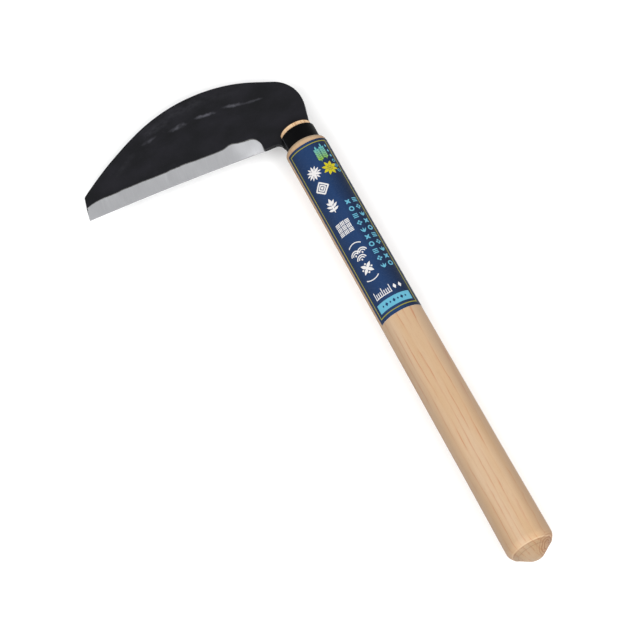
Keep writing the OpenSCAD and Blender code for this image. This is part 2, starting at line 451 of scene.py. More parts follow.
def raised(points, z):
    return np.column_stack([points, np.broadcast_to(z, len(points))])


def body_section(s, a, b):
    """Closed section of the body from the edge side a to the spine side b, and what the strip needs."""
    reach = np.linalg.norm(b - a)
    unit = (b - a) / reach
    has_strip = s >= STRIP_START
    # the bevel and its boundary line; the neck and the tang keep a narrow row there
    w = max(float(bevel_width(s)) - float(edge_sag(s)), 0.9) if s >= 0 else 0.9
    w = min(w, reach * 0.8)
    line = a + unit * w
    z_line = float(front_face(line[None])[0])
    z_edge = min(float(edge_height(s)), z_line) if s >= 0 else z_line
    # the strip's upper face meets the bevel at k of its width
    k = (STRIP_TOP - z_edge) / (z_line - z_edge) if has_strip and z_edge < STRIP_TOP else 0.0
    start = a + unit * w * k
    width_part = k + (1 - k) * np.linspace(0, 1, BEVEL_ROWS + 1)
    bevel = raised(between(start, line, BEVEL_ROWS), z_edge + (z_line - z_edge) * width_part)
    # front face, its round rim, the spine wall and the rim of the back
    rim = min(RIM, reach * 0.1)
    inner = b - unit * rim
    face = between(line, inner, FACE_ROWS, 1)
    face = raised(face, front_face(face))
    face[0, 2] -= 0.02
    turn = np.radians([30, 60, 90])
    front_rim = raised(inner + unit * (rim * np.sin(turn))[:, None],
                       front_face(b[None])[0] - rim * (1 - np.cos(turn)))
    inside = a[1] < NOSE_Y + 0.15 and a[0] > -FERRULE_R - 0.15 and b[1] < NOSE_Y + 0.15
    z_back = BACK_Z + (TANG_RELIEF if inside else 0.0)
    turn = np.radians([90, 60, 30, 0])
    back_rim = raised(inner + unit * (rim * 0.6 * np.sin(turn) + rim * 0.4 * (turn > 0))[:, None],
                      z_back + rim * 0.6 * (1 - np.cos(turn)))
    # back face down to the step, and the recess for the strip
    step = a + unit * (min(STRIP_WIDTH + 0.01, reach * 0.9) if has_strip else min(STRIP_WIDTH, reach * 0.6))
    back = raised(between(inner, step, BACK_ROWS, 1), z_back)
    recess = raised(between(step, start, RECESS_ROWS), STRIP_TOP if has_strip else z_back)
    return np.concatenate([bevel, face, front_rim, back_rim, back, recess]), start, step, z_edge


def strip_section(a, start, step, z_edge):
    """Closed section of the steel strip: under face, bevel with its honed edge, upper face."""
    low = min(z_edge, STRIP_TOP - STRIP_GAP)
    wide = np.linalg.norm(start - a)
    honed = min(MICRO, wide * 0.5)
    t = np.concatenate([[0], np.linspace(honed / max(wide, 1e-6), 1, STRIP_ROWS)])
    bevel = raised(a + (start - a) * t[:, None], low + (STRIP_TOP - low) * t)
    # the last tenths are honed at a steeper angle
    bevel[0, 2] -= 0.1 if wide > 1 else 0.0
    return np.concatenate([
        raised(between(step, a, STRIP_ROWS), BACK_Z), bevel,
        raised(between(start, step, STRIP_ROWS, 1), STRIP_TOP - STRIP_GAP),
    ])


def blade_grid():
    """Sections of the body and of the steel strip, one per column, with the kind of each face."""
    s_all, low, up = blade_columns()
    low = np.concatenate([low, [a for a, _ in TANG]])
    up = np.concatenate([up, [b for _, b in TANG]])
    s_all = np.concatenate([s_all, -2.0 - np.arange(len(TANG))])
    body, strip, kinds, strip_kinds = [], [], [], []
    for s, a, b in zip(s_all, low, up):
        section, start, step, z_edge = body_section(s, a, b)
        body.append(section)
        kinds.append([bevel_kind(s, r / BEVEL_ROWS) for r in range(BEVEL_ROWS)]
                     + [SCALE] * (len(section) - BEVEL_ROWS - 1) + [bevel_kind(s, 0)])
        if s >= STRIP_START:
            strip.append(strip_section(a, start, step, z_edge))
            kind = [SCALE if s < GRIND_END else GROUND] * len(strip[-1])
            if s >= GRIND_END:
                kind[STRIP_ROWS + 1] = FRINGE
            strip_kinds.append(kind)
    return np.array(body), np.array(strip), kinds, strip_kinds


def around(n, m, steps):
    """Faces between n closed rings of m points: steps of them, the last one back to the first ring."""
    return [(i * m + j, i * m + (j + 1) % m, (i + 1) % n * m + (j + 1) % m, (i + 1) % n * m + j)
            for i in range(steps) for j in range(m)]


def skin(rings, kinds=None):
    """Faces between closed rings, with a cap on each end."""
    n, m = rings.shape[:2]
    caps = [tuple(i * m + j for j in range(m)) for i in (0, n - 1)]
    kind = [0 if kinds is None else kinds[i][j] for i in range(n - 1) for j in range(m)]
    return rings.reshape(-1, 3), around(n, m, n - 1) + caps, kind + [0, 0]


# ------------------------------------------------------------------ handle geometry


GRIP_HALF_WIDTH, GRIP_FLARE = 13.15, 1.5
SHOULDER_RATIO, RATIO_GAIN = 0.84, 0.06
RIM_X, RIM_Z = 2.0, 0.3
BUTT_SLOPE, BUTT_CORNER, BUTT_TIP, BUTT_FLAT = 38.0, 6.0, 8.0, 0.8
SEGMENTS = 168


def taper(y):
    return (SHOULDER_Y - y) / LENGTH


def half_width(y):
    return GRIP_HALF_WIDTH + GRIP_FLARE * taper(y) ** 2


def depth_ratio(y):
    return SHOULDER_RATIO + RATIO_GAIN * taper(y)


def oval(w, y):
    """Half-width, height and half-depth of the oval section of half-width w at height y."""
    return w, y, w * depth_ratio(y)


def handle_profile():
    """Half-width, height and half-depth of each ring, from the nose's end to the tip."""
    rows = []
    # nose: chamfered end, straight side, root at the shoulder
    for w, y in ((0.6, NOSE_Y), (5.0, NOSE_Y), (8.4, NOSE_Y), (9.45, NOSE_Y), (9.72, NOSE_Y - 0.06),
                 (9.88, NOSE_Y - 0.2), (NOSE_R, NOSE_Y - 0.45)):
        rows.append((w, y, w))
    rows += [(NOSE_R, y, NOSE_R) for y in np.linspace(NOSE_Y - 1.2, SHOULDER_Y + 0.5, 10)]
    rows.append((NOSE_R + 0.06, SHOULDER_Y + 0.12, NOSE_R + 0.06))
    # shoulder face: from the round nose to the oval rim
    full_w, _, full_d = oval(half_width(SHOULDER_Y), SHOULDER_Y)
    root = NOSE_R + 0.25
    for t in (0.08, 0.4, 0.8, 1.0):
        rows.append((root + (full_w - RIM_X - root) * t, SHOULDER_Y, root + (full_d - RIM_Z - root) * t))
    for a in np.radians(np.arange(9, 91, 9)):
        y = SHOULDER_Y - RIM_X * (1 - math.cos(a))
        w, _, d = oval(half_width(y), y)
        rows.append((w - RIM_X * (1 - math.sin(a)), y, d - RIM_Z * (1 - math.sin(a))))
    # long side down to the butt, whose cone ends in a small flat
    turn = 90 - BUTT_SLOPE
    slope_sin, slope_cos = math.sin(math.radians(BUTT_SLOPE)), math.cos(math.radians(BUTT_SLOPE))
    reach = BUTT_CORNER * (1 - slope_sin) + BUTT_TIP * slope_sin
    cone = (half_width(BUTT_Y) - BUTT_FLAT - reach) / slope_cos
    butt_top = BUTT_Y + BUTT_CORNER * slope_cos + cone * slope_sin + BUTT_TIP * (1 - slope_cos)
    rows += [oval(half_width(y), y) for y in np.linspace(SHOULDER_Y - 4, butt_top + 1.5, 76)]
    path = trace((half_width(butt_top), butt_top), -90,
                 [(BUTT_CORNER, -turn), (cone, 0), (BUTT_TIP, -BUTT_SLOPE)], step=0.16)
    run = arc_length(path)
    normal = np.gradient(path, axis=0)
    normal = np.stack([-normal[:, 1], normal[:, 0]], -1)
    normal /= np.linalg.norm(normal, axis=1)[:, None]
    # turned marks: a scored ring where the cone begins, a second one, and fine tool marks
    cut = (0.22 * bell(run, 5.25, 0.26) + 0.1 * bell(run, 5.85, 0.22) - 0.06 * bell(run, 4.7, 0.3)
           + 0.1 * bell(run, 8.1, 0.24) + 0.05 * bell(run, 10.4, 0.2)
           + 0.018 * np.sin(run * 5.1) * smooth(5.5, 7, run))
    return rows + [oval(max(w, 0.3), y) for w, y in path + normal * cut[:, None]]


def oval_rings(rows, wobble=None):
    """Rings of points around the Y axis, one for each oval section."""
    a = 2 * math.pi * np.arange(SEGMENTS) / SEGMENTS
    rings = []
    for w, y, d in rows:
        k = 1.0 if wobble is None else 1 + wobble(y, a) / max(w, 1)
        rings.append(np.stack([w * k * np.cos(a), np.full(SEGMENTS, y), d * k * np.sin(a)], -1))
    return np.array(rings)


def cut_with(obj, cutter, smooth_angle, operation="DIFFERENCE"):
    """Applies an exact boolean, removes the cutter and shades the result."""
    m = obj.modifiers.new("cut", "BOOLEAN")
    m.operation = operation
    m.solver = "EXACT"
    m.object = cutter
    bpy.context.view_layer.update()
    mesh = bpy.data.meshes.new_from_object(obj.evaluated_get(bpy.context.evaluated_depsgraph_get()))
    obj.modifiers.clear()
    spent = (obj.data, cutter.data)
    obj.data = mesh
    bpy.data.objects.remove(cutter)
    for data in spent:
        bpy.data.meshes.remove(data)
    shade(obj, smooth_angle)
    return obj


def prism(outline, z0, z1):
    n = len(outline)
    verts = [(x, y, z0) for x, y in outline] + [(x, y, z1) for x, y in outline]
    faces = [tuple(range(n)), tuple(range(2 * n - 1, n - 1, -1))]
    faces += [(i, (i + 1) % n, n + (i + 1) % n, n + i) for i in range(n)]
    return make_object("cutter", verts, faces, [])


SLOT_GAP = 0.05
SLOT_FLOOR_Y = TANG_END_Y - 1
WIDE = 40.0


def make_handle(material):
    swell = Waves(31, 18, 160, 30)

    def wobble(y, a):
        return 0.035 * swell(y, np.cos(a) * 12)

    verts, faces, _ = skin(oval_rings(handle_profile(), wobble))
    outline = [
        (-WIDE, SLOT_FLOOR_Y), (1.55, SLOT_FLOOR_Y), (NECK_X + SLOT_GAP, SHOULDER_Y - 4),
        (NECK_X + SLOT_GAP, SHOULDER_Y), (WIDE, SHOULDER_Y), (WIDE, NOSE_Y + 5), (-WIDE, NOSE_Y + 5),
    ]
    slot = prism(outline, BACK_Z + TANG_RELIEF - SLOT_GAP, FRONT_Z + SLOT_GAP)
    return cut_with(make_object("handle_grip", verts, faces, [material]), slot, 40)


def make_wedge(material):
    top = SHOULDER_Y - SLOT_GAP
    rows = [r for r in handle_profile() if r[1] <= top]
    verts, faces, _ = skin(oval_rings(rows))
    end_y = SLOT_FLOOR_Y + SLOT_GAP
    tang_end = TANG_END_Y - SLOT_GAP
    outline = [
        (-WIDE, end_y), (0.5, end_y), (0.5, tang_end), (-3.5 - SLOT_GAP, tang_end),
        (-6.5 - SLOT_GAP, TANG_END_Y + 3), (-9.4 - SLOT_GAP, NOTCH_Y), (-9.4 - SLOT_GAP, top),
        (-WIDE, top),
    ]
    wedge = make_object("slot_slip", verts, faces, [material])
    return cut_with(wedge, prism(outline, BACK_Z + TANG_RELIEF, FRONT_Z), 40, "INTERSECT")


SEAM = 151.0


def make_ferrule(material):
    inner = NOSE_R + 0.05
    lower, upper = SHOULDER_Y, FERRULE_TOP
    soft, crisp = 0.28, 0.1
    rows = []
    for a in np.radians((0, 30, 60, 90)):
        rows.append((FERRULE_R - soft + soft * math.sin(a), lower + soft - soft * math.cos(a)))
    rows += [(FERRULE_R, y) for y in np.linspace(lower + 1, upper - 1, 7)]
    for a in np.radians((90, 45, 0)):
        rows.append((FERRULE_R - crisp + crisp * math.sin(a), upper - crisp + crisp * math.cos(a)))
    rows += [(inner + 0.06, upper - 0.04), (inner, upper - 0.25), (inner, (lower + upper) / 2),
             (inner, lower + 0.25), (inner + 0.06, lower + 0.04)]
    n = 200
    a = 2 * math.pi * np.arange(n) / n
    # the strip is rolled up and brazed: a low seam runs along the left of the front
    seam = 0.1 * bell(np.degrees(a), SEAM, 2.2)
    verts = []
    for w, y in rows:
        k = w + (seam if w > inner + 0.3 else 0)
        verts.append(np.stack([k * np.cos(a), np.full(n, y), k * np.sin(a)], -1))
    tube = make_object("ferrule_ring", np.concatenate(verts), around(len(rows), n, len(rows)), [material])
    half = THICKNESS / 2 + SLOT_GAP
    notch = [(-WIDE, NOTCH_Y), (0, NOTCH_Y), (0, NOSE_Y + 9), (-WIDE, NOSE_Y + 9)]
    return cut_with(tube, prism(notch, -half, half), 50)


def make_pin(material):
    x = (PIN_LO[0] + PIN_HI[0]) / 2
    y = (PIN_LO[1] + PIN_HI[1]) / 2
    r = (PIN_HI[0] - PIN_LO[0]) / 2
    low, high = PIN_LO[2], PIN_HI[2]
    rows = [(0.12, low), (0.5 * r, low + 0.03), (0.8 * r, low + 0.12), (0.95 * r, low + 0.24),
            (r, low + 0.4)]
    rows += [(r, z) for z in np.linspace(low + 1, high - 0.4, 10)]
    rows += [(0.97 * r, high - 0.1), (0.9 * r, high), (0.12, high)]
    n = 40
    a = 2 * math.pi * np.arange(n) / n
    rings = np.array([
        np.stack([x + w * np.cos(a), y + w * np.sin(a), np.full(n, z)], -1) for w, z in rows
    ])
    verts, faces, _ = skin(rings)
    return make_object("tang_rivet", verts, faces, [material], smooth_angle=45)

# ------------------------------------------------------------------ label geometry

PAPER = 0.15
ASKEW = 0.045
LABEL_TOP = LABEL_HI[1]
LABEL_BOTTOM = LABEL_LO[1]
LABEL_FROM, LABEL_TO = 155.0, -35.0


def girth_table():
    """Girth from the top of the front, to the right, against the angle around the handle."""
    angle = np.radians(np.linspace(175, -60, 1200))
    w = half_width(80.0)
    pts = np.stack([(w + PAPER) * np.cos(angle), (w * depth_ratio(80.0) + PAPER) * np.sin(angle)], -1)
    run = arc_length(pts)
    return run - np.interp(-math.pi / 2, -angle, run), angle


GIRTH, ANGLE = girth_table()


def girth_of(degrees):
    return float(np.interp(-math.radians(degrees), -ANGLE, GIRTH))


def on_handle(a, y, lift):
    """Point at girth a and height y, lifted off the handle's surface."""
    angle = np.interp(a, GIRTH, ANGLE)
    w = half_width(y)
    return np.stack([
        (w + lift) * np.cos(angle), y + ASKEW * np.maximum(a, 0), (w * depth_ratio(y) + lift) * np.sin(angle),
    ], -1)


def turned(points, x, y, degrees=0.0):
    t = math.radians(degrees)
    m = np.array([[math.cos(t), -math.sin(t)], [math.sin(t), math.cos(t)]])
    return np.array(points, float) @ m.T + (x, y)


def spokes(count, first, radius, x, y):
    """Angle in degrees and place of points around (x, y)."""
    for k in range(count):
        a = first + 360 * k / count
        yield a, x + radius * math.cos(math.radians(a)), y + radius * math.sin(math.radians(a))


def bar(x, y, w, h, degrees=0.0):
    return turned([(-w / 2, -h / 2), (w / 2, -h / 2), (w / 2, h / 2), (-w / 2, h / 2)], x, y, degrees)


def lozenge(x, y, w, h):
    return turned([(-w / 2, 0), (0, -h / 2), (w / 2, 0), (0, h / 2)], x, y)


def leaf(x, y, length, width, degrees, n=9):
    """A pointed leaf that grows from (x, y) in the given direction."""
    t = np.linspace(0, 1, n)
    half = width / 2 * np.sin(math.pi * t**0.8)
    up = list(zip(t * length, half))
    down = list(zip(t[-2:0:-1] * length, -half[-2:0:-1]))
    return turned(up + down, x, y, degrees)


def band(x, y, radius, width, a0, a1, n=12):
    a = np.radians(np.linspace(a0, a1, n))
    outer = np.stack([np.cos(a), np.sin(a)], -1) * (radius + width / 2)
    inner = np.stack([np.cos(a), np.sin(a)], -1)[::-1] * (radius - width / 2)
    return np.concatenate([outer, inner]) + (x, y)


def ring(x, y, radius, width, n=10):
    return [band(x, y, radius, width, 0, 180, n), band(x, y, radius, width, 180, 360, n)]


def frame_bars(x0, x1, y0, y1, w):
    return [
        bar((x0 + x1) / 2, y1, x1 - x0 + w, w), bar((x0 + x1) / 2, y0, x1 - x0 + w, w),
        bar(x0, (y0 + y1) / 2, w, y1 - y0 - w), bar(x1, (y0 + y1) / 2, w, y1 - y0 - w),
    ]


def star_motif(x, y, r):
    """Six-pointed hemp-leaf star."""
    return ([leaf(px, py, r, r * 0.34, a) for a, px, py in spokes(6, 30, 0, x, y)]
            + [leaf(px, py, r * 0.6, r * 0.2, a) for a, px, py in spokes(6, 0, r * 0.42, x, y)])


def nested_motif(x, y, r):
    """Two nested lozenges with a small one in the middle."""
    out = [lozenge(x, y, r * 0.5, r * 0.5)]
    for size, w in ((r, 0.95), (r * 0.56, 0.8)):
        out += [bar(px, py, size * 1.42, w, a + 90)
                for a, px, py in spokes(4, 45, size * 0.96 / math.sqrt(2), x, y)]
    return out


def sprout_motif(x, y, r):
    """A seedling: a bent stem with three leaves on each side."""
    out = [leaf(x, y - 0.95 * r, 1.5 * r, 0.2 * r, 90), leaf(x, y + 0.2 * r, 0.8 * r, 0.34 * r, 90)]
    for foot, length, lean in ((0.12, 0.72, 48), (-0.22, 0.8, 32), (-0.55, 0.66, 20)):
        out += [leaf(x, y + foot * r, length * r, 0.3 * r, lean),
                leaf(x, y + foot * r, length * r, 0.3 * r, 180 - lean)]
    return out


def weave_motif(x, y, r):
    """Basket weave: groups of three strands that change direction."""
    out = []
    cell = 2 * r / 3
    for i in range(3):
        for j in range(3):
            cx, cy = x + (i - 1) * cell, y + (j - 1) * cell
            for k in (-1, 0, 1):
                off = k * cell * 0.3
                if (i + j) % 2:
                    out.append(bar(cx + off, cy, cell * 0.19, cell * 0.92))
                else:
                    out.append(bar(cx, cy + off, cell * 0.92, cell * 0.19))
    return out


def scale_motif(x, y, r):
    """Overlapping wave scales."""
    out = []
    for cx, cy in ((x - r * 0.5, y + r * 0.05), (x + r * 0.5, y + r * 0.05), (x, y - r * 0.85)):
        for k in (0.46, 0.27):
            out.append(band(cx, cy, r * k * 1.45, r * 0.15, 12, 168))
        out.append(leaf(cx - r * 0.12, cy, r * 0.24, r * 0.3, 0, 6))
    return out


def petal_motif(x, y, r):
    """Four petals in a square, with a dot in each side."""
    return ([leaf(px, py, r * 1.12, r * 0.52, a) for a, px, py in spokes(4, 45, 0, x, y)]
            + [lozenge(px, py, r * 0.36, r * 0.36) for _, px, py in spokes(4, 0, r * 0.72, x, y)])


def ear_motif(x, y, w, h):
    """An ear of grain: a stem with pairs of leaning grains and one at the top."""
    out = [bar(x, y - 0.06 * h, 0.1 * w, 0.88 * h), leaf(x, y + 0.26 * h, 0.26 * h, 0.3 * w, 90)]
    for k in range(6):
        foot = y + (0.2 - 0.12 * k) * h
        out += [leaf(x + 0.06 * w, foot, 0.54 * w, 0.3 * w, 40),
                leaf(x - 0.06 * w, foot, 0.54 * w, 0.3 * w, 140)]
    return out


def bloom_motif(x, y, r):
    """A round flower of eight petals."""
    petals = [leaf(px, py, 0.8 * r, 0.4 * r, a) for a, px, py in spokes(8, 22, 0.22 * r, x, y)]
    return petals + ring(x, y, 0.16 * r, 0.14 * r)


def small_motif(kind, x, y, r):
    if kind == 0:
        return [leaf(px, py, r, r * 0.5, a) for a, px, py in spokes(4, 45, 0, x, y)]
    if kind == 1:
        return ring(x, y, r * 0.62, r * 0.36)
    if kind == 2:
        return [bar(x, y + k * r * 0.55, 1.5 * r, 0.3 * r) for k in (-1, 0, 1)]
    if kind == 3:
        return [lozenge(px, py, r * 0.72, r * 0.72) for _, px, py in spokes(4, 0, r * 0.5, x, y)]
    return [leaf(x, y - r * 0.8, r * 1.6, r * 0.4, 90 + d) for d in (-34, 0, 34)]


NAVY, WHITE, SKY, GREEN, GOLD, YELLOW = range(6)


def label_shapes():
    """Printed shapes as (ink, outline), later ones on top. Ornaments only, no lettering."""
    out = []

    def add(ink, polys):
        out.extend((ink, p) for p in polys)

    top, bottom = LABEL_TOP, LABEL_BOTTOM
    add(GOLD, frame_bars(-12.2, 14.2, bottom + 2.7, top - 2.0, 0.52))
    x = -3.5
    add(WHITE, star_motif(x, top - 20.6, 4.8))
    add(WHITE, nested_motif(x, top - 31.9, 4.4))
    add(WHITE, sprout_motif(x, top - 45.6, 5.4))
    add(WHITE, weave_motif(x, top - 62.1, 4.8))
    add(WHITE, [band(x, top - 80.4, 6.3, 0.62, 48, 132, 16)])
    add(WHITE, scale_motif(x, top - 82.2, 4.6))
    add(WHITE, petal_motif(x, top - 92.6, 4.1))
    add(WHITE, [band(x, top - 94.8, 6.3, 0.62, 228, 312, 16)])
    # a plain row of ticks, as on a rule, and two lozenges
    for k in range(9):
        tall = 5.0 if k % 4 == 0 else 3.0
        add(WHITE, [bar(-8.0 + 1.3 * k, top - 113.4 + tall / 2, 0.5, tall)])
    add(WHITE, [bar(-2.8, top - 113.6, 11.2, 0.5), lozenge(5.4, top - 111.2, 2.2, 3.6),
                lozenge(8.9, top - 111.2, 2.2, 3.6)])
    # pale blue box with a row of dark lozenges
    add(SKY, [bar(1.1, bottom + 7.8, 22.4, 6.0)])
    for k in range(7):
        size = 2.7 if k % 2 else 1.7
        add(NAVY, [lozenge(-6.4 + 2.5 * k, bottom + 7.9, size * 0.74, size)])
    # two small columns
    for k in range(10):
        y = top - 47.8 - 5.35 * k
        add(SKY, small_motif(k % 5, 6.0, y, 2.15))
        add(SKY, small_motif((k + 2) % 5, 11.0, y + 0.4, 2.15))
    add(GREEN, ear_motif(4.7, top - 10.6, 3.9, 11.0) + ear_motif(8.5, top - 9.6, 3.9, 11.4))
    add(YELLOW, bloom_motif(7.0, top - 21.9, 5.0))
    for k in range(6):
        y = top - 6.0 - 3.8 * k
        add(SKY, ring(12.1, y, 0.9, 0.4, 7) if k > 2 else [lozenge(12.0, y, 1.5, 2.3)])
    return out


def finer(outline, step):
    """The outline with points added on its long edges, so that it can follow the oval."""
    out = []
    for p, q in zip(outline, np.roll(outline, -1, axis=0)):
        p, q = np.array(p, float), np.array(q, float)
        n = max(1, math.ceil(abs(q[0] - p[0]) / step), math.ceil(abs(q[1] - p[1]) / (5 * step)))
        out += [p + (q - p) * k / n for k in range(n)]
    return out


def make_label(inks):
    """The sheet, cut along every printed outline, wrapped around the grip."""
    a0, a1 = girth_of(LABEL_FROM), girth_of(LABEL_TO)
    y0, y1 = LABEL_BOTTOM, LABEL_TOP
    corner = 0.6
    points, faces, ink_of = [], [], []

    def polygon(ink, outline):
        """Adds an outline, turned anticlockwise."""
        x, y = np.array(outline, float).T
        if np.sum(x * np.roll(y, -1) - y * np.roll(x, -1)) < 0:
            outline = outline[::-1]
        start = len(points)
        points.extend((float(p[0]), float(p[1])) for p in finer(outline, 0.6))
        faces.append(list(range(start, len(points))))
        ink_of.append(ink)

    sheet = []
    for cx, cy, t0 in ((a1 - corner, y0 + corner, -90), (a1 - corner, y1 - corner, 0),
                       (a0 + corner, y1 - corner, 90), (a0 + corner, y0 + corner, 180)):
        for k in range(4):
            t = math.radians(t0 + 30 * k)
            sheet.append((cx + corner * math.cos(t), cy + corner * math.sin(t)))
    polygon(NAVY, sheet)
    for ink, outline in label_shapes():
        polygon(ink, outline)
    # a grid of points inside the sheet lets it follow the oval
    inner = 0.45
    for a in np.arange(a0 + inner, a1 - inner + 0.01, (a1 - a0 - 2 * inner) / 56):
        for y in np.arange(y0 + inner, y1 - inner + 0.01, (y1 - y0 - 2 * inner) / 60):
            points.append((float(a), float(y)))
    vs, _, fs, _, _, origin = delaunay_2d_cdt([Vector(p) for p in points], [], faces, 1, 1e-4, True)
    flat = np.array([(v.x, v.y) for v in vs])
    n = len(flat)
    outer = on_handle(flat[:, 0], flat[:, 1], PAPER)
    under = on_handle(flat[:, 0], flat[:, 1], 0.0)
    all_faces = [tuple(f) for f in fs] + [tuple(n + i for i in reversed(f)) for f in fs]
    kinds = [ink_of[max(src)] if src else NAVY for src in origin] + [WHITE] * len(fs)
    # the cut edge of the paper closes every side that only one triangle has
    sides = [(f[i - 1], f[i]) for f in fs for i in range(len(f))]
    used = set(sides)
    for i, j in sides:
        if (j, i) not in used:
            all_faces.append((j, i, n + i, n + j))
            kinds.append(WHITE)
    return make_object("label_sheet", np.concatenate([outer, under]), all_faces, inks, kinds,
                       smooth_angle=60)

# ------------------------------------------------------------------ materials

# Where the scored ring of the cone stands, as a part of 16 mm above the butt
CONE_RING = 0.435


def wood_material(name, light, dark, red, shift=0.0):
    g = Graph(name)
    # growth layers: nearly flat sheets that run along the grip, bent by three sizes of noise
    slow = g.noise((0.05, 0.009, 0.05), detail=1.5, where=(shift, 0, 0))
    fast = g.noise((0.35, 0.03, 0.35), where=(shift, 0, 0))
    quiver = g.noise((0.7, 0.14, 0.7), where=(shift, 0, 5))
    x, _, z = g.xyz(g.coords(where=(shift, 0, 0)))
    q = g.line(x, 0.26, g.times(z, 0.085))
    q = g.line(slow, 1.9, q)
    q = g.line(fast, 0.4, q)
    q = g.line(quiver, 0.2, q)
    line = g.ramp(g.math("FRACT", q), [(0.0, 0.0), (0.62, 0.0), (0.84, 0.35), (0.92, 1.0), (0.99, 0.0)])
    gate = g.noise((0.3, 0.036, 0.3), detail=3, where=(shift, 7, 3))
    gate = g.rise(gate, 0.4, 0.6, low=0.08)
    line = g.times(line, gate)
    tone = g.noise((0.09, 0.011, 0.09), where=(shift, 40, 0))
    tone = g.rise(tone, 0.32, 0.68)
    fibre = g.noise((2.6, 0.055, 2.6), detail=3, rough=0.6)
    fibre = g.rise(fibre, 0.3, 0.7)
    pores = g.noise((6.0, 0.22, 6.0), detail=1)
    pores = g.rise(pores, 0.62, 0.74)
    col = g.mix(tone, light, dark)
    col = g.mix(g.times(line, 0.8), col, red)
    col = g.mix(g.times(fibre, 0.16), col, tuple(c * 0.72 for c in dark))
    col = g.mix(g.times(pores, 0.2), col, tuple(c * 0.5 for c in red))
    height = g.line(pores, -0.8, g.times(fibre, 0.5))
    rough = g.line(fibre, 0.1, 0.52)
    g.set(color=col, roughness=rough, specular=0.32, normal=g.bump(height, 0.05, 0.6))
    return g, col


def finish_handle(g, col):
    """Painted shade: darker wood towards both sides and on the shoulder's rim. Pale end grain on the nose,
    turned rings with a painted highlight beside the upper one, and a knot.
    """
    x, y, _ = g.xyz(g.coords())
    # painted shade: the wood is darkened towards both sides of the grip
    side = g.math("ABSOLUTE", x)
    side = g.rise(g.times(side, 1 / half_width(BUTT_Y)), 0.42, 1.0)
    col = g.mix(g.times(side, 0.72), col, rgb(118, 95, 73))
    nose = g.rise(g.span(y, SHOULDER_Y, 20), 0.3, 0.4)
    fibres = g.noise((1.9, 0.12, 1.9))
    pale = g.mix(g.rise(fibres, 0.4, 0.62), rgb(204, 174, 138), rgb(172, 136, 100))
    col = g.mix(nose, col, pale)
    # painted shade: a darker, greyer band on the shoulder's rounded rim beside the ferrule
    rim = g.ramp(g.span(y, SHOULDER_Y - 10, 20), [(0.4, 0.0), (0.47, 0.8), (0.53, 0.0)])
    col = g.mix(rim, col, rgb(132, 118, 101))
    up_cone = g.span(y, BUTT_Y, 16)
    cone = g.rise(up_cone, CONE_RING - 0.06, CONE_RING, 1.0, 0.0)
    col = g.mix(cone, col, g.mix(1.0, col, (0.71, 0.71, 0.7), "MULTIPLY"))
    # rings left by turning the cone: two dark lines and, beside the upper one, a painted highlight that is
    # stronger on the right
    dark = g.ramp(up_cone, [(CONE_RING - 0.135, 0.0), (CONE_RING - 0.12, 0.7), (CONE_RING - 0.1, 0.0),
                            (CONE_RING - 0.045, 0.0), (CONE_RING - 0.02, 1.0), (CONE_RING, 0.0)])
    light = g.ramp(up_cone, [(CONE_RING - 0.005, 0.0), (CONE_RING + 0.02, 1.0), (CONE_RING + 0.05, 0.0)])
    broken = g.rise(g.noise(0.2, where=(9, 0, 0)), 0.35, 0.6, low=0.25)
    col = g.mix(g.times(g.times(dark, broken), 0.75), col, rgb(104, 70, 46))
    # painted highlight: weaker on the left side of the cone, stronger on the right
    light = g.times(light, g.rise(g.span(x, -15, 30), 0.1, 0.8, low=0.3))
    col = g.mix(g.times(light, 0.45), col, rgb(200, 178, 150))
    # the knot on the right of the cone
    away = g.node("VectorMath", operation="DISTANCE")
    g.link(g.coords(), away.inputs[0])
    away.inputs[1].default_value = (10.0, BUTT_Y + 2.0, 3.0)
    waver = g.noise(0.25)
    reach = g.line(waver, 2.0, away.outputs["Value"])
    arcs = g.ramp(g.math("FRACT", g.times(reach, 0.62)), [(0.0, 1.0), (0.25, 0.1), (0.7, 0.0), (1.0, 1.0)])
    near = g.rise(g.times(reach, 1 / 12), 0.5, 0.85, 1.0, 0.0)
    col = g.mix(g.times(g.times(arcs, near), 0.95), col, rgb(96, 54, 30))
    col = g.mix(g.times(near, 0.2), col, rgb(150, 106, 70))
    g.set(color=col)


